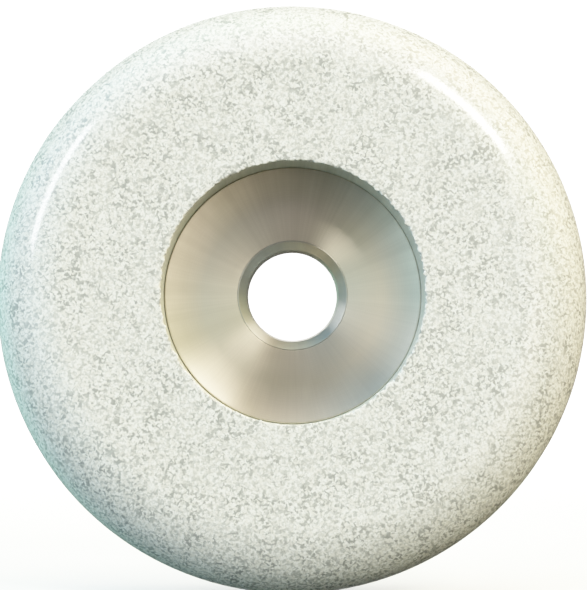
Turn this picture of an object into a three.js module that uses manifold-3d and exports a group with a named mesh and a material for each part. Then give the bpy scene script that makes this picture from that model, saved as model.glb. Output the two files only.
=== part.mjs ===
// A felt polishing wheel, 150 x 35 mm, on a turned metal hub for a 22 mm class spindle.
//
// The wheel spins about Y. The origin is the middle of the bore, half way through the width. The front face
// looks toward -Y, and +Z is up. Sizes are in millimetres.
//
// A felt ring is glued to a thin sleeve. A ledge inside the sleeve carries two discs, which clamp the flange
// of the bore bush between them. Six screws go in from the rear and end blind in the front disc.

import * as THREE from 'three';
import { mergeVertices } from 'three/addons/utils/BufferGeometryUtils.js';
import Module from 'manifold-3d';

const wasm = await Module();
wasm.setup();

// ---- Driving dimensions -------------------------------------------------------------------------------

const WHEEL_RADIUS = 75;
const HALF_WIDTH = 17.5;
const RIM_ROUND_ACROSS = 18; // the rounding between each face and the rim, measured along the radius
const RIM_ROUND_DEEP = 15; // the same rounding, measured along the axis
const RECESS_RADIUS = 32.6; // the opening in both faces of the felt, and the inside of the sleeve
const FELT_LIP = 0.8; // how far the felt's edge laps over each end of the sleeve
const SLEEVE_WALL = 1;
const BOND_THICKNESS = 0.3;

// The stack in the middle, from front to rear. Each value is a distance along Y.
const FRONT_DISC_EDGE_Y = -6; // the raised outer edge of the dished face
const FRONT_DISC_LAND_Y = -4.8; // the flat land round the bore, where a spindle nut bears
const LEDGE_FRONT_Y = -0.75;
const LEDGE_REAR_Y = 0.75;
const REAR_DISC_Y = 4.8;

const LAND_RADIUS = 22.5; // the dish rises from here to the edge of the disc
const DISC_RADIUS = 32.3;
const DISC_EDGE_CHAMFER = 0.3;
const LEDGE_RADIUS = 28;

const BORE_RADIUS = 11.3;
const BUSH_RADIUS = 14;
const BUSH_FLANGE_RADIUS = 27.7;
const MOUTH_RADIUS = 13.7; // the wide end of the conical mouth, at both ends of the bush
const THROAT_RADIUS = 11.75; // where the mouth turns into the steep lead-in
const LEAD_IN_LENGTH = 1.5;
const DISC_FIT = 0.05; // radial clearance of the discs on the bush

const SCREW_COUNT = 6;
const SCREW_CIRCLE = 24;
const SCREW_RADIUS = 1.95;
const SCREW_HEAD_RADIUS = 3.75;
const SCREW_HEAD_RIM = 0.2; // the straight edge above the cone of the head
const SCREW_SUNK = 0.2; // how far the head sits below the rear disc
const SCREW_TIP_Y = -3.4;
const SCREW_TIP_CHAMFER = 0.5;
const SCREW_CLEARANCE = 0.3;
const SOCKET_ACROSS_CORNERS = 2.9;
const SOCKET_DEPTH = 1.4;
const BLIND_HOLE_END_Y = -3.7;

const ROUND_SIDES = 72;
const SCREW_SIDES = 24;
const RIM_STEPS = 7;
const DISH_STEPS = 4;

// ---- Materials ----------------------------------------------------------------------------------------

const felt = new THREE.MeshStandardMaterial({ color: 0xe3e3da, roughness: 0.55, metalness: 0 });
const turnedAlloy = new THREE.MeshStandardMaterial({ color: 0xb9b4a6, roughness: 0.35, metalness: 1 });
const sleeveAlloy = new THREE.MeshStandardMaterial({ color: 0x9a9c90, roughness: 0.4, metalness: 1 });
const bushSteel = new THREE.MeshStandardMaterial({ color: 0x9fa093, roughness: 0.3, metalness: 1 });
const screwSteel = new THREE.MeshStandardMaterial({ color: 0x4b4a48, roughness: 0.45, metalness: 1 });
const cement = new THREE.MeshStandardMaterial({ color: 0xb08a4e, roughness: 0.5, metalness: 0 });

// ---- Geometry helpers ---------------------------------------------------------------------------------

/** The same triangles with position only, and each shared corner stored once. */
function welded(geometry) {
  const bare = geometry.clone();
  bare.deleteAttribute('normal');
  bare.deleteAttribute('uv');
  return mergeVertices(bare, 1e-5);
}

/** Turns a closed outline of [radius, y] corners about Y. With the radius to the right and y up, the
 *  corners run anticlockwise. */
function turned(outline, sides = ROUND_SIDES) {
  const corners = [...outline, outline[0]].map(([radius, y]) => new THREE.Vector2(radius, y));
  return welded(new THREE.LatheGeometry(corners, sides));
}

/** Points on an arc of an ellipse, both ends included. The centre is [radius, y], and reach is the half
 *  axis along each of those. Angles are in degrees from the +radius direction. */
function arc(centre, reach, fromDegrees, toDegrees, steps) {
  return Array.from({ length: steps + 1 }, (_, i) => {
    const angle = THREE.MathUtils.degToRad(THREE.MathUtils.lerp(fromDegrees, toDegrees, i / steps));
    return [centre[0] + reach[0] * Math.cos(angle), centre[1] + reach[1] * Math.sin(angle)];
  });
}

function toManifold(geometry) {
  const closed = welded(geometry);
  const vertProperties = new Float32Array(closed.attributes.position.array);
  const triVerts = new Uint32Array(closed.index.array);
  return new wasm.Manifold(new wasm.Mesh({ numProp: 3, vertProperties, triVerts }));
}

/** The blank with every tool cut out of it. */
function cut(blank, tools) {
  const body = tools.reduce((rest, tool) => rest.subtract(toManifold(tool)), toManifold(blank));
  const { vertProperties, triVerts } = body.getMesh();
  const geometry = new THREE.BufferGeometry();
  geometry.setAttribute('position', new THREE.BufferAttribute(vertProperties, 3));
  geometry.setIndex(new THREE.BufferAttribute(triVerts, 1));
  return geometry;
}

function named(name, geometry, material) {
  geometry.computeVertexNormals();
  const mesh = new THREE.Mesh(geometry, material);
  mesh.name = name;
  return mesh;
}

/** The place of each screw on its circle, at y = 0. */
const screwPlaces = Array.from({ length: SCREW_COUNT }, (_, i) =>
  new THREE.Vector3(0, 0, SCREW_CIRCLE).applyAxisAngle(
    new THREE.Vector3(0, 1, 0),
    (2 * Math.PI * (i + 0.5)) / SCREW_COUNT,
  ),
);

/** One copy of a tool at each screw. The tool is drawn round the Y axis. */
function atEachScrew(tool) {
  return screwPlaces.map(({ x, z }) => tool.clone().translate(x, 0, z));
}

// ---- Pieces -------------------------------------------------------------------------------------------

/** The felt body. Its faces are flat out to the rounding, and its inner edges lap over the sleeve. */
function feltRing() {
  const bondRadius = RECESS_RADIUS + SLEEVE_WALL + BOND_THICKNESS;
  const lipY = HALF_WIDTH - FELT_LIP;
  const roundRadius = WHEEL_RADIUS - RIM_ROUND_ACROSS;
  const roundY = HALF_WIDTH - RIM_ROUND_DEEP;
  const reach = [RIM_ROUND_ACROSS, RIM_ROUND_DEEP];
  return turned([
    [RECESS_RADIUS, -HALF_WIDTH],
    ...arc([roundRadius, -roundY], reach, -90, 0, RIM_STEPS),
    ...arc([roundRadius, roundY], reach, 0, 90, RIM_STEPS),
    [RECESS_RADIUS, HALF_WIDTH],
    [RECESS_RADIUS, lipY],
    [bondRadius, lipY],
    [bondRadius, -lipY],
    [RECESS_RADIUS, -lipY],
  ]);
}

/** The thin layer of cement between the sleeve and the felt. */
function bondFilm() {
  const inner = RECESS_RADIUS + SLEEVE_WALL;
  const outer = inner + BOND_THICKNESS;
  const endY = HALF_WIDTH - FELT_LIP;
  return turned([
    [outer, -endY],
    [outer, endY],
    [inner, endY],
    [inner, -endY],
  ]);
}

/** A thin tube with a ledge inside it for the discs. */
function hubSleeve() {
  const endY = HALF_WIDTH - FELT_LIP;
  return turned([
    [RECESS_RADIUS + SLEEVE_WALL, -endY],
    [RECESS_RADIUS + SLEEVE_WALL, endY],
    [RECESS_RADIUS, endY],
    [RECESS_RADIUS, LEDGE_REAR_Y],
    [LEDGE_RADIUS, LEDGE_REAR_Y],
    [LEDGE_RADIUS, LEDGE_FRONT_Y],
    [RECESS_RADIUS, LEDGE_FRONT_Y],
    [RECESS_RADIUS, -endY],
  ]);
}

/** The dished face in the front recess: a flat land round the bore, then one gentle curve out to a raised
 *  edge. Blind holes in its back take the screws. */
function frontDisc() {
  const edgeStart = DISC_RADIUS - DISC_EDGE_CHAMFER;
  const run = edgeStart - LAND_RADIUS;
  const rise = FRONT_DISC_LAND_Y - FRONT_DISC_EDGE_Y;
  const dishRadius = (run ** 2 + rise ** 2) / (2 * rise);
  const dishCentre = [LAND_RADIUS, FRONT_DISC_LAND_Y - dishRadius];
  const dishEnd = 90 - THREE.MathUtils.radToDeg(Math.asin(run / dishRadius));
  const blank = turned([
    [BUSH_RADIUS + DISC_FIT, FRONT_DISC_LAND_Y],
    ...arc(dishCentre, [dishRadius, dishRadius], 90, dishEnd, DISH_STEPS),
    [DISC_RADIUS, FRONT_DISC_EDGE_Y + DISC_EDGE_CHAMFER],
    [DISC_RADIUS, LEDGE_FRONT_Y],
    [BUSH_RADIUS + DISC_FIT, LEDGE_FRONT_Y],
  ]);
  const holeRadius = SCREW_RADIUS + SCREW_CLEARANCE;
  const blindHole = turned(
    [
      [0, BLIND_HOLE_END_Y],
      [holeRadius, BLIND_HOLE_END_Y],
      [holeRadius, LEDGE_REAR_Y],
      [0, LEDGE_REAR_Y],
    ],
    SCREW_SIDES,
  );
  return cut(blank, atEachScrew(blindHole));
}

/** The flat clamp plate in the rear recess, countersunk for the screws. */
function rearDisc() {
  const bevelStart = DISC_RADIUS - DISC_EDGE_CHAMFER;
  const blank = turned([
    [BUSH_RADIUS + DISC_FIT, LEDGE_REAR_Y],
    [DISC_RADIUS, LEDGE_REAR_Y],
    [DISC_RADIUS, REAR_DISC_Y - DISC_EDGE_CHAMFER],
    [bevelStart, REAR_DISC_Y],
    [BUSH_RADIUS + DISC_FIT, REAR_DISC_Y],
  ]);
  const holeRadius = SCREW_RADIUS + SCREW_CLEARANCE;
  const sinkRadius = SCREW_HEAD_RADIUS + SCREW_CLEARANCE;
  const sinkRimY = REAR_DISC_Y - SCREW_SUNK - SCREW_HEAD_RIM;
  const aboveY = REAR_DISC_Y + 1;
  const countersunkHole = turned(
    [
      [0, LEDGE_FRONT_Y],
      [holeRadius, LEDGE_FRONT_Y],
      [holeRadius, sinkRimY - (sinkRadius - holeRadius)],
      [sinkRadius, sinkRimY],
      [sinkRadius, aboveY],
      [0, aboveY],
    ],
    SCREW_SIDES,
  );
  return cut(blank, atEachScrew(countersunkHole));
}

/** The bush that runs on the spindle. Each end has a conical mouth and a steep lead-in, with a short true
 *  bore between them. Its flange is clamped between the discs. */
function boreBush() {
  const mouthDepth = MOUTH_RADIUS - THROAT_RADIUS;
  const boreDepth = mouthDepth + LEAD_IN_LENGTH;
  const blank = turned([
    [MOUTH_RADIUS, FRONT_DISC_LAND_Y],
    [BUSH_RADIUS, FRONT_DISC_LAND_Y],
    [BUSH_RADIUS, LEDGE_FRONT_Y],
    [BUSH_FLANGE_RADIUS, LEDGE_FRONT_Y],
    [BUSH_FLANGE_RADIUS, LEDGE_REAR_Y],
    [BUSH_RADIUS, LEDGE_REAR_Y],
    [BUSH_RADIUS, REAR_DISC_Y],
    [MOUTH_RADIUS, REAR_DISC_Y],
    [THROAT_RADIUS, REAR_DISC_Y - mouthDepth],
    [BORE_RADIUS, REAR_DISC_Y - boreDepth],
    [BORE_RADIUS, FRONT_DISC_LAND_Y + boreDepth],
    [THROAT_RADIUS, FRONT_DISC_LAND_Y + mouthDepth],
  ]);
  const holeRadius = SCREW_RADIUS + SCREW_CLEARANCE;
  const throughHole = turned(
    [
      [0, FRONT_DISC_LAND_Y],
      [holeRadius, FRONT_DISC_LAND_Y],
      [holeRadius, REAR_DISC_Y],
      [0, REAR_DISC_Y],
    ],
    SCREW_SIDES,
  );
  return cut(blank, atEachScrew(throughHole));
}

/** A countersunk socket screw round the Y axis, with its head toward +Y. */
function clampScrew() {
  const headY = REAR_DISC_Y - SCREW_SUNK;
  const rimY = headY - SCREW_HEAD_RIM;
  const blank = turned(
    [
      [0, SCREW_TIP_Y],
      [SCREW_RADIUS - SCREW_TIP_CHAMFER, SCREW_TIP_Y],
      [SCREW_RADIUS, SCREW_TIP_Y + SCREW_TIP_CHAMFER],
      [SCREW_RADIUS, rimY - (SCREW_HEAD_RADIUS - SCREW_RADIUS)],
      [SCREW_HEAD_RADIUS, rimY],
      [SCREW_HEAD_RADIUS, headY],
      [0, headY],
    ],
    SCREW_SIDES,
  );
  const socketRadius = SOCKET_ACROSS_CORNERS / 2;
  const socket = new THREE.CylinderGeometry(socketRadius, socketRadius, 2 * SOCKET_DEPTH, 6);
  return cut(blank, [socket.translate(0, headY, 0)]);
}

// ---- Assembly -----------------------------------------------------------------------------------------

const wheel = new THREE.Group();
wheel.add(
  named('felt_ring', feltRing(), felt),
  named('bond_film', bondFilm(), cement),
  named('hub_sleeve', hubSleeve(), sleeveAlloy),
  named('front_disc', frontDisc(), turnedAlloy),
  named('bore_bush', boreBush(), bushSteel),
  named('rear_disc', rearDisc(), turnedAlloy),
);

screwPlaces.forEach((place, i) => {
  const screw = named(`clamp_screw_${i + 1}`, clampScrew(), screwSteel);
  screw.position.copy(place);
  wheel.add(screw);
});

export default wheel;
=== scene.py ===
"""A felt polishing wheel on a turned metal hub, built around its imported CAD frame.

The wheel's axis is Y, its front face looks toward -Y, and it stands on its rim. The CAD solids are faceted,
so each one that shows is replaced by a finely turned piece of the same size with broken edges. Sizes are in
metres.
"""

import math

import bpy
from mathutils import Matrix, Vector, noise


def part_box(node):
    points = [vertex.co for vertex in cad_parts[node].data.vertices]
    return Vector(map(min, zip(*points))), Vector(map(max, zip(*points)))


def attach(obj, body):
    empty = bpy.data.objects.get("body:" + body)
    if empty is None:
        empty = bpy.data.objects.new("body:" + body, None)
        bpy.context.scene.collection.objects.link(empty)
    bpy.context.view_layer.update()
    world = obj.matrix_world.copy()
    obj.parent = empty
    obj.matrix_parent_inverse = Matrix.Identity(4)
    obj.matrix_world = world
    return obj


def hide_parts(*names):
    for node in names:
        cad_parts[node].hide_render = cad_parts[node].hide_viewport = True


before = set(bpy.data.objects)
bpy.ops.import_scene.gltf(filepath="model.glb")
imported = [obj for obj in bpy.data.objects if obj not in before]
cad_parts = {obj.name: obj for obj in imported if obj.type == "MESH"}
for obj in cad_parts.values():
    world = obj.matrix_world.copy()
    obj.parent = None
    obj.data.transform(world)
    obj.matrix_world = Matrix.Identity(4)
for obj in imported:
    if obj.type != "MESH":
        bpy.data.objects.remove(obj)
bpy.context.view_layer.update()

MM = 0.001
TINY = 0.001 * MM


# ---- Sizes, from the frame where it has them -----------------------------------------------------------


def reach(node):
    """Outer radius, front y and rear y of a CAD node that is round about the wheel's axis."""
    low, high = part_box(node)
    return high[0], low[1], high[1]


WHEEL_RADIUS, WHEEL_FRONT, WHEEL_REAR = reach("felt_ring")
BOND_RADIUS, SLEEVE_FRONT, SLEEVE_REAR = reach("bond_film")
SLEEVE_RADIUS = reach("hub_sleeve")[0]
_, DISC_EDGE_FRONT, LEDGE_FRONT = reach("front_disc")
PLATE_RADIUS, LEDGE_REAR, PLATE_REAR = reach("rear_disc")
FLANGE_RADIUS, BUSH_FRONT, BUSH_REAR = reach("bore_bush")

RIM_ROUND_ACROSS = 18 * MM
RIM_ROUND_DEEP = 15 * MM
RECESS_RADIUS = 32.6 * MM
LEDGE_RADIUS = 28 * MM
LAND_RADIUS = 22.5 * MM
DISC_SLACK = 0.1 * MM  # between the front disc and the sleeve, finer than the CAD's clearance
DISC_LEAN = Vector((0.085, 0, 0.04)) * MM  # so that the disc's edge all but touches it at the right
BUSH_RADIUS = 14 * MM
MOUTH_RADIUS = 13.7 * MM
THROAT_RADIUS = 11.75 * MM
MOUTH_DEPTH = MOUTH_RADIUS - THROAT_RADIUS  # a cone at 45 degrees
LEAD_IN = 1.5 * MM
BORE_RADIUS = 11.3 * MM
HAIRLINE = 0.03 * MM  # the joint between the bush and each disc
DISC_EDGE = 0.06 * MM  # the rounding of each disc's edge at that joint
LIP = MM  # how far the raggedness of the felt's cut edge reaches

SCREWS = [f"clamp_screw_{i}" for i in range(1, 7)]
SCREW_RADIUS = 1.95 * MM
HEAD_RADIUS = 3.75 * MM
HEAD_RIM = 0.2 * MM
SOCKET_FLATS = 2.5 * MM
SOCKET_DEPTH = 1.4 * MM
SINK_SLACK = 0.12 * MM  # between a screw and its countersunk hole

# How many facets each kind of piece has in a turn.
FELT_FACETS = 720
METAL_FACETS = 288
SCREW_FACETS = 72
CUTTER_FACETS = 64


# ---- Turned shapes -------------------------------------------------------------------------------------


def filleted(corners, arc_step):
    """The (radius, y) points of an outline whose corners are (radius, y) or (radius, y, fillet)."""
    points = []
    for i, corner in enumerate(corners):
        here = Vector(corner[:2])
        fillet = corner[2] if len(corner) > 2 else 0
        if not fillet:
            points.append(here)
            continue
        back = (Vector(corners[i - 1][:2]) - here).normalized()
        ahead = (Vector(corners[(i + 1) % len(corners)][:2]) - here).normalized()
        half_angle = back.angle(ahead) / 2
        centre = here + (back + ahead).normalized() * fillet / math.sin(half_angle)
        start = here + back * fillet / math.tan(half_angle) - centre
        end = here + ahead * fillet / math.tan(half_angle) - centre
        sweep = start.angle_signed(end)
        steps = max(2, math.ceil(abs(sweep) / arc_step))
        for k in range(steps + 1):
            turn = -sweep * k / steps
            cos, sin = math.cos(turn), math.sin(turn)
            points.append(centre + Vector((start.x * cos - start.y * sin, start.x * sin + start.y * cos)))
    return points


def quarter_ellipse(centre, across, along, start, steps):
    """A quarter turn of an ellipse, both ends included. start is in degrees from the +radius direction."""
    for k in range(steps + 1):
        angle = math.radians(start + 90 * k / steps)
        yield centre[0] + across * math.cos(angle), centre[1] + along * math.sin(angle)


def stepped(points, longest):
    """The closed outline with its long runs divided, so that they can be bent or roughened."""
    out = []
    for i, here in enumerate(points):
        ahead = points[(i + 1) % len(points)]
        parts = max(1, math.ceil((ahead - here).length / longest))
        out += [here.lerp(ahead, k / parts) for k in range(parts)]
    return out


def turned(name, points, facets, closed=True, shift=None):
    """A solid turned about Y. With the radius to the right and y up, the points run anticlockwise. An
    outline that isn't closed starts and ends on the axis. shift(co) gives a vertex its final place."""
    verts, rings = [], []
    for radius, y in points:
        count = 1 if radius < TINY else facets
        rings.append([len(verts) + (k % count) for k in range(facets)])
        for k in range(count):
            angle = 2 * math.pi * k / facets
            co = Vector((radius * math.sin(angle), y, radius * math.cos(angle)))
            verts.append(shift(co) if shift else co)
    faces = []
    for i in range(len(rings) if closed else len(rings) - 1):
        low, high = rings[i], rings[(i + 1) % len(rings)]
        for k in range(facets):
            after = (k + 1) % facets
            quad = [low[k], low[after], high[after], high[k]]
            faces.append(list(dict.fromkeys(quad)))
    mesh = bpy.data.meshes.new(name)
    mesh.from_pydata(verts, [], faces)
    mesh.polygons.foreach_set("use_smooth", [True] * len(faces))
    mesh.set_sharp_from_angle(angle=math.radians(38))
    piece = bpy.data.objects.new(name, mesh)
    bpy.context.scene.collection.objects.link(piece)
    return piece


def stand_in(piece, node, material):
    """Puts a finished piece in the assembly, in place of its CAD node."""
    piece.data.materials.clear()
    piece.data.materials.append(material)
    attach(piece, "root")
    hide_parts(node)


# ---- Shader node helpers -------------------------------------------------------------------------------


class Shader:
    """A material whose nodes are added one call at a time. Lower-case keywords set the node's own
    properties, capitalised ones set its inputs, and In0, In1 and so on set inputs by number."""

    def __init__(self, name):
        self.material = bpy.data.materials.new(name)
        self.material.use_nodes = True
        self.tree = self.material.node_tree
        self.surface = self.tree.nodes["Principled BSDF"]

    def fill(self, node, inputs):
        for key, value in inputs.items():
            index = int(key[2:]) if key[:2] == "In" and key[2:].isdigit() else key.replace("_", " ")
            socket = node.inputs[index]
            if isinstance(value, bpy.types.NodeSocket):
                self.tree.links.new(value, socket)
            else:
                socket.default_value = value

    def add(self, kind, out=0, **given):
        node = self.tree.nodes.new("ShaderNode" + kind)
        for key, value in given.items():
            if key[0].islower():
                setattr(node, key, value)
        self.fill(node, {key: value for key, value in given.items() if key[0].isupper()})
        return node.outputs[out]

    def math(self, operation, *values):
        return self.add("Math", operation=operation, **{f"In{i}": v for i, v in enumerate(values)})

    def vector(self, operation, *values):
        return self.add("VectorMath", operation=operation, **{f"In{i}": v for i, v in enumerate(values)})

    def ramp(self, value, low, high, to_low=0.0, to_high=1.0):
        """A smooth step of value from low to high."""
        return self.add(
            "MapRange", interpolation_type="SMOOTHSTEP",
            In0=value, In1=low, In2=high, In3=to_low, In4=to_high,
        )

    def noise(self, vector, scale, detail=2.0, roughness=0.5, **more):
        return self.add("TexNoise", Vector=vector, Scale=scale, Detail=detail, Roughness=roughness, **more)

    def mix(self, factor, first, second):
        node = self.tree.nodes.new("ShaderNodeMix")
        node.data_type = "RGBA"
        self.fill(node, {"In0": factor, "In6": first, "In7": second})
        return node.outputs[2]

    def place(self):
        """Position on the piece, in metres from its own origin."""
        return self.add("TexCoord", out="Object")

    def radius(self):
        """Distance from the piece's Y axis."""
        flat = self.vector("MULTIPLY", self.place(), (1, 0, 1))
        return self.add("VectorMath", out="Value", operation="LENGTH", In0=flat)

    def bump(self, height, distance, strength):
        return self.add("Bump", Height=height, Distance=distance, Strength=strength)

    def finish(self, **inputs):
        self.fill(self.surface, inputs)
        return self.material


# ---- Materials -----------------------------------------------------------------------------------------


def fleck(nodes, place, scale, curl, low, high):
    """1 in the hollows of a noise that is bent into short curly shapes, and 0 elsewhere."""
    bend = nodes.noise(place, scale * 0.8, 0.0, out="Color")
    bent = nodes.vector("MULTIPLY_ADD", bend, (curl / scale,) * 3, place)
    return nodes.ramp(nodes.noise(bent, scale, 1.0, 0.5), low, high, 1.0, 0.0)


def felt_material():
    """Hard pressed wool, off-white with curly grey fleck, under a clear glossy seal."""
    nodes = Shader("sealed_wool_felt")
    place = nodes.place()
    crowd = nodes.ramp(nodes.noise(place, 260, 3.0, 0.6), 0.3, 0.66, 0.4, 1.0)
    beside = nodes.vector("ADD", place, (0.4, 0.2, 0.7))
    beyond = nodes.vector("ADD", place, (0.9, 0.5, 0.1))
    coarse = fleck(nodes, place, scale=1160, curl=1.2, low=0.38, high=0.55)
    fine = fleck(nodes, beside, scale=1900, curl=1.0, low=0.38, high=0.54)
    pale = fleck(nodes, beyond, scale=1080, curl=1.2, low=0.42, high=0.58)
    grey = nodes.math("MULTIPLY", coarse, crowd)
    ground = nodes.mix(nodes.noise(place, 60, 3.0), (0.84, 0.825, 0.755, 1), (0.89, 0.875, 0.805, 1))
    ground = nodes.mix(pale, ground, (1.0, 1.0, 0.95, 1))
    ground = nodes.mix(nodes.math("MULTIPLY", fine, 0.4), ground, (0.34, 0.34, 0.32, 1))
    colour = nodes.mix(nodes.math("MULTIPLY", grey, 0.9), ground, (0.24, 0.245, 0.235, 1))
    nap = nodes.math("SUBTRACT", nodes.noise(place, 1900, 2.0), nodes.math("MULTIPLY", grey, 0.35))
    return nodes.finish(
        Base_Color=colour,
        Roughness=0.62,
        Normal=nodes.bump(nap, 0.05 * MM, 0.15),
        Coat_Weight=1.0,
        Coat_Roughness=0.14,
        Coat_IOR=1.75,  # above a varnish's 1.5, which left the streaks on the rim too faint
        Coat_Normal=nodes.bump(nodes.noise(place, 260, 1.0), 0.02 * MM, 0.25),
    )


def lathe_material(name, colour, shade, roughness, anisotropy, ring_depth, metallic=1.0):
    """Metal faced or bored on a lathe: very fine rings about the Y axis, broad faint darker rays across
    them that are partly wear from the handling and partly painted reflection, the wedges a turned face
    reflects, and a little stain."""
    nodes = Shader(name)
    place = nodes.place()
    outward = nodes.math("MULTIPLY", nodes.radius(), 5200)
    rings = nodes.add("TexNoise", noise_dimensions="1D", W=outward, Scale=1.0, Detail=3.0)
    spoke = nodes.vector("NORMALIZE", nodes.vector("MULTIPLY", place, (1, 0, 1)))
    wear_and_painted_wedges = nodes.ramp(nodes.noise(spoke, 9.0, 5.0, 0.8), 0.3, 0.7)
    stain = nodes.ramp(nodes.noise(place, 90, 4.0, 0.6), 0.4, 0.75)
    tone = nodes.mix(nodes.math("MULTIPLY", nodes.ramp(rings, 0.3, 0.7), 0.25), colour, shade)
    # painted reflection: darker wedges round the axis, like those a turned face reflects, mixed with real
    # wear
    tone = nodes.mix(nodes.math("MULTIPLY", wear_and_painted_wedges, 0.5), tone, shade)
    tone = nodes.mix(nodes.math("MULTIPLY", stain, 0.2), tone, shade)
    worn = nodes.math("MULTIPLY_ADD", wear_and_painted_wedges, 0.04, nodes.math("MULTIPLY_ADD", stain, 0.04, roughness - 0.03))
    return nodes.finish(
        Base_Color=tone,
        Metallic=metallic,
        Roughness=worn,
        Anisotropic=anisotropy,
        Anisotropic_Rotation=0.25,  # the rings spread light across themselves
        Tangent=nodes.add("Tangent", direction_type="RADIAL", axis="Y"),
        Normal=nodes.bump(rings, ring_depth, 0.2),
    )


def screw_material():
    """Blackened steel, rubbed brighter where the key has turned it."""
    nodes = Shader("blackened_steel")
    place = nodes.place()
    grain = nodes.noise(place, 2400, 3.0)
    rub = nodes.ramp(nodes.noise(place, 800, 3.0), 0.52, 0.7)
    worn = nodes.math("MULTIPLY", rub, 0.5)
    return nodes.finish(
        Base_Color=nodes.mix(worn, (0.035, 0.034, 0.033, 1), (0.22, 0.21, 0.2, 1)),
        Metallic=0.9,
        Roughness=nodes.math("MULTIPLY_ADD", grain, 0.3, 0.25),
        Normal=nodes.bump(grain, 0.02 * MM, 0.3),
    )


def cement_material():
    """Set cement, amber and slightly cloudy."""
    nodes = Shader("set_cement")
    cloud = nodes.noise(nodes.place(), 300, 3.0)
    return nodes.finish(
        Base_Color=nodes.mix(cloud, (0.34, 0.2, 0.06, 1), (0.5, 0.32, 0.12, 1)),
        Roughness=nodes.math("MULTIPLY_ADD", cloud, 0.3, 0.35),
        Normal=nodes.bump(cloud, 0.05 * MM, 0.4),
    )


# ---- Pieces --------------------------------------------------------------------------------------------


def lip_share(co):
    """1 at the felt's cut edge round either recess, falling to 0 at the lip's width from it."""
    radius = math.hypot(co.x, co.z)
    depth = min(abs(co.y - WHEEL_FRONT), abs(co.y - WHEEL_REAR))
    return max(0.0, 1 - (radius - RECESS_RADIUS) / LIP) * max(0.0, 1 - depth / LIP)


def felt_shift(co):
    """Pressed felt is slightly uneven all over, and ragged where a knife has cut it."""
    cemented = math.hypot(co.x, co.z) < BOND_RADIUS + TINY and abs(co.y) < SLEEVE_REAR + TINY
    if cemented:
        return co
    swell = 0.05 * MM * noise.noise(co * 60) + 0.012 * MM * noise.noise(co * 900)
    ragged = 0.6 * MM * noise.noise(co * 900) + 0.25 * MM * noise.noise(co * 2100)
    outward = Vector((co.x, 0, co.z)).normalized()
    moved = co + outward * ragged * lip_share(co)
    return moved + Vector((0, math.copysign(swell, co.y), 0))


def felt_body():
    round_radius = WHEEL_RADIUS - RIM_ROUND_ACROSS
    round_y = WHEEL_REAR - RIM_ROUND_DEEP
    round_steps = 26
    cut_edge = 0.3 * MM
    points = filleted(
        [
            (RECESS_RADIUS, WHEEL_FRONT, cut_edge),
            *quarter_ellipse((round_radius, -round_y), RIM_ROUND_ACROSS, RIM_ROUND_DEEP, -90, round_steps),
            *quarter_ellipse((round_radius, round_y), RIM_ROUND_ACROSS, RIM_ROUND_DEEP, 0, round_steps),
            (RECESS_RADIUS, WHEEL_REAR, cut_edge),
            (RECESS_RADIUS, SLEEVE_REAR),
            (BOND_RADIUS, SLEEVE_REAR),
            (BOND_RADIUS, SLEEVE_FRONT),
            (RECESS_RADIUS, SLEEVE_FRONT),
        ],
        math.radians(15),
    )
    body = turned("felt_body", stepped(points, 1.8 * MM), FELT_FACETS, shift=felt_shift)
    stand_in(body, "felt_ring", felt_material())


def sleeve():
    edge = 0.15 * MM
    points = filleted(
        [
            (SLEEVE_RADIUS, SLEEVE_FRONT, edge),
            (SLEEVE_RADIUS, SLEEVE_REAR, edge),
            (RECESS_RADIUS, SLEEVE_REAR, edge),
            (RECESS_RADIUS, LEDGE_REAR),
            (LEDGE_RADIUS, LEDGE_REAR, edge),
            (LEDGE_RADIUS, LEDGE_FRONT, edge),
            (RECESS_RADIUS, LEDGE_FRONT),
            (RECESS_RADIUS, SLEEVE_FRONT, edge),
        ],
        math.radians(15),
    )
    metal = lathe_material(
        "bored_alloy",
        colour=(0.66, 0.68, 0.61, 1),
        shade=(0.4, 0.42, 0.36, 1),
        roughness=0.5,
        anisotropy=0.3,
        ring_depth=0.02 * MM,
        metallic=0.45,
    )
    stand_in(turned("lining_sleeve", points, METAL_FACETS), "hub_sleeve", metal)


def dish(steps):
    """The curve of the front disc, from the flat land round the bore up to the raised edge."""
    run = RECESS_RADIUS - DISC_SLACK - LAND_RADIUS
    rise = BUSH_FRONT - DISC_EDGE_FRONT
    radius = (run**2 + rise**2) / (2 * rise)
    widest = math.asin(run / radius)
    for k in range(steps + 1):
        angle = widest * k / steps
        yield (
            LAND_RADIUS + radius * math.sin(angle),
            BUSH_FRONT - radius * (1 - math.cos(angle)),
        )


def disc_seat(co):
    """Carries the disc's edge over to one side of its slack in the sleeve."""
    beyond_land = (math.hypot(co.x, co.z) - LAND_RADIUS) / (RECESS_RADIUS - LAND_RADIUS)
    return co + DISC_LEAN * max(0.0, beyond_land)


def front_disc(metal):
    curve = list(dish(16))
    rim_radius, rim_front = curve[-1]
    points = filleted(
        [
            (BUSH_RADIUS + HAIRLINE, BUSH_FRONT, DISC_EDGE),
            *curve[:-1],
            (rim_radius, rim_front, 0.28 * MM),
            (rim_radius, LEDGE_FRONT),
            (BUSH_RADIUS + HAIRLINE, LEDGE_FRONT),
        ],
        math.radians(20),
    )
    disc = turned("dished_disc", points, METAL_FACETS, shift=disc_seat)
    stand_in(disc, "front_disc", metal)


def screw_places():
    """The x, the y of the tip, the y of the head's top, and the z of each screw, from its CAD node."""
    places = []
    for node in SCREWS:
        low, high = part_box(node)
        places.append(((low[0] + high[0]) / 2, low[1], high[1], (low[2] + high[2]) / 2))
    return places


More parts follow.
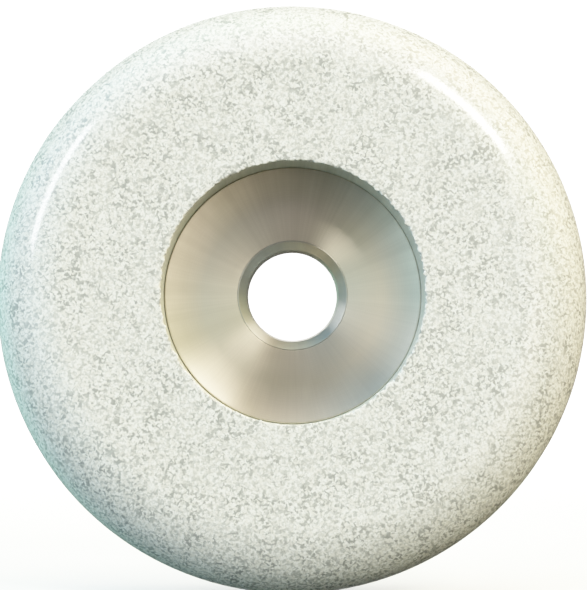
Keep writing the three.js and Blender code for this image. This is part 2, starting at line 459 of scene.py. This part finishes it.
def clamp_plate(metal):
    """The rear disc, with a countersunk hole cut for each screw."""
    points = filleted(
        [
            (BUSH_RADIUS + HAIRLINE, LEDGE_REAR),
            (PLATE_RADIUS, LEDGE_REAR),
            (PLATE_RADIUS, PLATE_REAR, 0.3 * MM),
            (BUSH_RADIUS + HAIRLINE, PLATE_REAR, DISC_EDGE),
        ],
        math.radians(20),
    )
    plate = turned("clamp_plate", points, METAL_FACETS)
    wide = HEAD_RADIUS + SINK_SLACK
    narrow = SCREW_RADIUS + SINK_SLACK
    flare = 0.1 * MM
    clear = PLATE_REAR + MM
    for x, _, head_top, z in screw_places():
        rim = head_top - HEAD_RIM
        outline = [
            (0, LEDGE_FRONT),
            (narrow, LEDGE_FRONT),
            (narrow, rim - (wide - narrow)),
            (wide, rim),
            (wide + flare, PLATE_REAR + 0.01 * MM),
            (wide + flare, clear),
            (0, clear),
        ]
        cutter = turned("cutter", outline, CUTTER_FACETS, closed=False)
        cutter.location = (x, 0, z)
        cut = plate.modifiers.new("countersink", "BOOLEAN")
        cut.object = cutter
        cut.operation = "DIFFERENCE"
        cut.solver = "EXACT"
        bpy.context.view_layer.objects.active = plate
        bpy.ops.object.modifier_apply(modifier=cut.name)
        bpy.data.objects.remove(cutter)
    plate.data.set_sharp_from_angle(angle=math.radians(30))
    stand_in(plate, "rear_disc", metal)


def spindle_bush():
    edge = 0.08 * MM
    points = filleted(
        [
            (MOUTH_RADIUS, BUSH_FRONT, edge),
            (BUSH_RADIUS, BUSH_FRONT, edge),
            (BUSH_RADIUS, LEDGE_FRONT),
            (FLANGE_RADIUS, LEDGE_FRONT),
            (FLANGE_RADIUS, LEDGE_REAR),
            (BUSH_RADIUS, LEDGE_REAR),
            (BUSH_RADIUS, BUSH_REAR, edge),
            (MOUTH_RADIUS, BUSH_REAR, edge),
            (THROAT_RADIUS, BUSH_REAR - MOUTH_DEPTH, 0.25 * MM),
            (BORE_RADIUS, BUSH_REAR - MOUTH_DEPTH - LEAD_IN, 0.6 * MM),
            (BORE_RADIUS, BUSH_FRONT + MOUTH_DEPTH + LEAD_IN, 0.6 * MM),
            (THROAT_RADIUS, BUSH_FRONT + MOUTH_DEPTH, 0.25 * MM),
        ],
        math.radians(12),
    )
    metal = lathe_material(
        "turned_steel",
        colour=(0.42, 0.4, 0.36, 1),
        shade=(0.34, 0.32, 0.285, 1),
        roughness=0.34,
        anisotropy=0.94,
        ring_depth=0.01 * MM,
    )
    stand_in(turned("spindle_bush", points, METAL_FACETS), "bore_bush", metal)


def press_hexagon(mesh, flat):
    """Gives a screw's round socket six flats. flat is how far each is from the screw's axis, and the head's
    top is at y = 0."""
    for vertex in mesh.vertices:
        radius = math.hypot(vertex.co.x, vertex.co.z)
        if TINY < radius < flat + 0.2 * MM and vertex.co.y > -SOCKET_DEPTH - 0.01 * MM:
            angle = math.atan2(vertex.co.x, vertex.co.z) % (math.pi / 3) - math.pi / 6
            vertex.co.x /= math.cos(angle)
            vertex.co.z /= math.cos(angle)


def socket_screws():
    metal = screw_material()
    flat = SOCKET_FLATS / 2
    tip_chamfer = 0.5 * MM
    for node, (x, tip, head_top, z) in zip(SCREWS, screw_places()):
        rim = head_top - HEAD_RIM
        socket_floor = head_top - SOCKET_DEPTH
        points = filleted(
            [
                (0, tip),
                (SCREW_RADIUS - tip_chamfer, tip),
                (SCREW_RADIUS, tip + tip_chamfer),
                (SCREW_RADIUS, rim - (HEAD_RADIUS - SCREW_RADIUS)),
                (HEAD_RADIUS, rim, 0.06 * MM),
                (HEAD_RADIUS, head_top, 0.12 * MM),
                (flat + 0.15 * MM, head_top, 0.1 * MM),
                (flat, head_top - 0.2 * MM),
                (flat, socket_floor),
                (0, socket_floor - 0.3 * MM),
            ],
            math.radians(22),
        )
        points = [Vector((radius, y - head_top)) for radius, y in points]
        screw = turned(node.replace("clamp", "socket"), points, SCREW_FACETS, closed=False)
        press_hexagon(screw.data, flat)
        screw.location = (x, head_top, z)
        stand_in(screw, node, metal)


def bond_film():
    """The cement is hidden between the felt and the sleeve, so the CAD solid stays."""
    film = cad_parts["bond_film"]
    film.data.materials.clear()
    film.data.materials.append(cement_material())


# ---- Studio --------------------------------------------------------------------------------------------

CAMERA_DISTANCE = 376 * MM  # from the middle of the front face
CAMERA_ELEVATION = math.radians(-4)
CAMERA_AZIMUTH = math.radians(-0.6)
CAMERA_AIM = Vector((0.1 * MM, WHEEL_FRONT, -0.8 * MM))
CAMERA_LENS = 93.5

LAMP_DISTANCE = 1.2

# The soft glows of the room, ring by ring. A ring has its angle off the wheel's front axis, how narrow its
# glows are, and then the clock and the colour of each glow. The colours began as a least-squares fit of the
# wheel's broad tones, and were then changed and rounded.
GLOWS = [
    # close about the camera: warm on the right, cool on the left
    (25, 30, {0: (2.0, 1.8, 1.4), 180: (0.83, 1.1, 1.1), 315: (0.22, 0.2, 0.14)}),
    # half way out, from the right over the top to the left
    (50, 20, {30: (0.9, 1.1, 0.62), 90: (1.4, 1.2, 1.2), 120: (0.4, 0.65, 0.88), 180: (0.5, 0.9, 1.1)}),
    # side light: a warm wall on the right, the ceiling, and a cool wall on the left
    (80, 14, {30: (2.4, 2.0, 1.1), 60: (3.2, 2.4, 1.4), 90: (2.0, 2.6, 1.7)}),
    (80, 14, {120: (0.62, 1.3, 1.6), 150: (0.3, 0.6, 1.0)}),
    # behind the wheel: a green reflection on the left, and the wall
    (118, 6, {180: (0.45, 0.95, 0.75)}),
    (165, 6, {90: (0.6, 0.6, 0.58)}),
]
BACKGROUND = (2.5, 2.5, 2.5, 1)  # where the camera looks past the wheel


def camera():
    cos_up = math.cos(CAMERA_ELEVATION)
    back = Vector(
        (
            math.sin(CAMERA_AZIMUTH) * cos_up,
            -math.cos(CAMERA_AZIMUTH) * cos_up,
            math.sin(CAMERA_ELEVATION),
        )
    )
    data = bpy.data.cameras.new("camera")
    data.lens = CAMERA_LENS
    data.clip_start = 0.01
    piece = bpy.data.objects.new("camera", data)
    piece.location = CAMERA_AIM + back * CAMERA_DISTANCE
    piece.rotation_mode = "QUATERNION"
    piece.rotation_quaternion = (-back).to_track_quat("-Z", "Y")
    bpy.context.scene.collection.objects.link(piece)
    bpy.context.scene.camera = piece


def off_axis(polar, clock):
    """The direction that lies polar degrees off the wheel's front axis. clock is its place round that axis
    as the front view shows it, in degrees anticlockwise from the right."""
    polar, clock = math.radians(polar), math.radians(clock)
    across = math.sin(polar)
    return Vector((across * math.cos(clock), -math.cos(polar), across * math.sin(clock)))


def lamp(name, polar, clock, size, colour):
    """A square-edged lamp that faces the wheel. size is its width round the axis and its depth toward the
    axis, and colour its brightness."""
    toward = off_axis(polar, clock)
    data = bpy.data.lights.new(name, "AREA")
    data.shape = "RECTANGLE"
    data.size, data.size_y = size
    brightness = max(colour)
    data.energy = math.pi * size[0] * size[1] * brightness
    data.color = [c / brightness for c in colour]
    piece = bpy.data.objects.new(name, data)
    piece.location = toward * LAMP_DISTANCE
    width = Vector((0, -1, 0)).cross(toward).normalized()
    turn = Matrix((width, toward.cross(width), toward)).transposed()
    piece.rotation_mode = "QUATERNION"
    piece.rotation_quaternion = turn.to_quaternion()
    piece.visible_camera = False
    bpy.context.scene.collection.objects.link(piece)



def room():
    """The light of the room, as a sum of soft glows. The camera itself sees plain white."""
    world = bpy.data.worlds.new("room")
    world.use_nodes = True
    bpy.context.scene.world = world
    tree = world.node_tree
    tree.nodes.clear()

    def add(kind, *inputs, **settings):
        node = tree.nodes.new("ShaderNode" + kind)
        for key, value in settings.items():
            setattr(node, key, value)
        for socket, value in zip(node.inputs, inputs):
            if isinstance(value, bpy.types.NodeSocket):
                tree.links.new(value, socket)
            else:
                socket.default_value = value
        return node

    toward = add("TexCoord").outputs["Generated"]
    total = (0.0, 0.0, 0.0)
    spots = [(polar, narrow, *glow) for polar, narrow, glows in GLOWS for glow in glows.items()]
    for polar, narrow, clock, colour in spots:
        dot = add("VectorMath", toward, off_axis(polar, clock), operation="DOT_PRODUCT").outputs["Value"]
        facing = add("Math", dot, 0.0, operation="MAXIMUM").outputs[0]
        glow = add("Math", facing, narrow, operation="POWER").outputs[0]
        tinted = add("VectorMath", glow, colour, operation="MULTIPLY").outputs[0]
        total = add("VectorMath", tinted, total, operation="ADD").outputs[0]
    seen = add("LightPath").outputs["Is Camera Ray"]
    pick = add("Mix", data_type="RGBA")
    for index, value in ((0, seen), (6, total)):
        tree.links.new(value, pick.inputs[index])
    pick.inputs[7].default_value = BACKGROUND
    sky = add("Background", pick.outputs[2]).outputs[0]
    add("OutputWorld", sky)


def camera_response():
    """Bright tones roll off as they do in a camera, instead of clipping."""
    steepness, brightest, steps = 2.1, 2.0, 8
    view = bpy.context.scene.view_settings
    view.view_transform = "Standard"
    view.use_curve_mapping = True
    view.curve_mapping.white_level = (brightest,) * 3
    curve = view.curve_mapping.curves[3]  # the one for all three channels together
    full = 1 - math.exp(-steepness * brightest)
    for k in range(1, steps):
        x = (k / steps) ** 1.5
        curve.points.new(x, (1 - math.exp(-steepness * brightest * x)) / full)
    view.curve_mapping.update()


def floor():
    """A pale sweep that brightens with distance, so that it meets the background without an edge."""
    nodes = Shader("pale_sweep")
    place = nodes.place()
    away = nodes.add("VectorMath", out="Value", operation="LENGTH", In0=place)
    material = nodes.finish(
        Base_Color=nodes.mix(nodes.noise(place, 6, 3.0), (0.86, 0.86, 0.85, 1), (0.9, 0.9, 0.89, 1)),
        Roughness=0.8,
        Emission_Color=(1, 1, 1, 1),
        Emission_Strength=nodes.ramp(away, 0.2, 1.6, 0.15, 1.6),
    )
    half = 3.0
    mesh = bpy.data.meshes.new("floor")
    corners = [(-half, -half, 0), (half, -half, 0), (half, half, 0), (-half, half, 0)]
    mesh.from_pydata(corners, [], [(0, 1, 2, 3)])
    mesh.materials.append(material)
    piece = bpy.data.objects.new("floor", mesh)
    piece.location.z = -WHEEL_RADIUS - 0.1 * MM
    # The glows light the wheel from below too, so the floor adds nothing to it.
    piece.visible_glossy = False
    piece.visible_diffuse = False
    bpy.context.scene.collection.objects.link(piece)


# ---- Scene ---------------------------------------------------------------------------------------------

camera()
camera_response()
room()
floor()
lamp("upper_right_lamp", 48, 50, (0.38, 0.22), (25, 23.5, 19.5))
lamp("upper_left_lamp", 58, 151, (0.52, 0.16), (12, 13, 13.5))
lamp("rear_lamp", 162, 100, (1.0, 1.0), (5, 5, 4.8))

felt_body()
sleeve()
faced_alloy = lathe_material(
    "faced_alloy",
    colour=(0.67, 0.61, 0.52, 1),
    shade=(0.49, 0.44, 0.37, 1),
    roughness=0.32,
    anisotropy=0.9,
    ring_depth=0.01 * MM,
)
front_disc(faced_alloy)
clamp_plate(faced_alloy)
spindle_bush()
socket_screws()
bond_film()
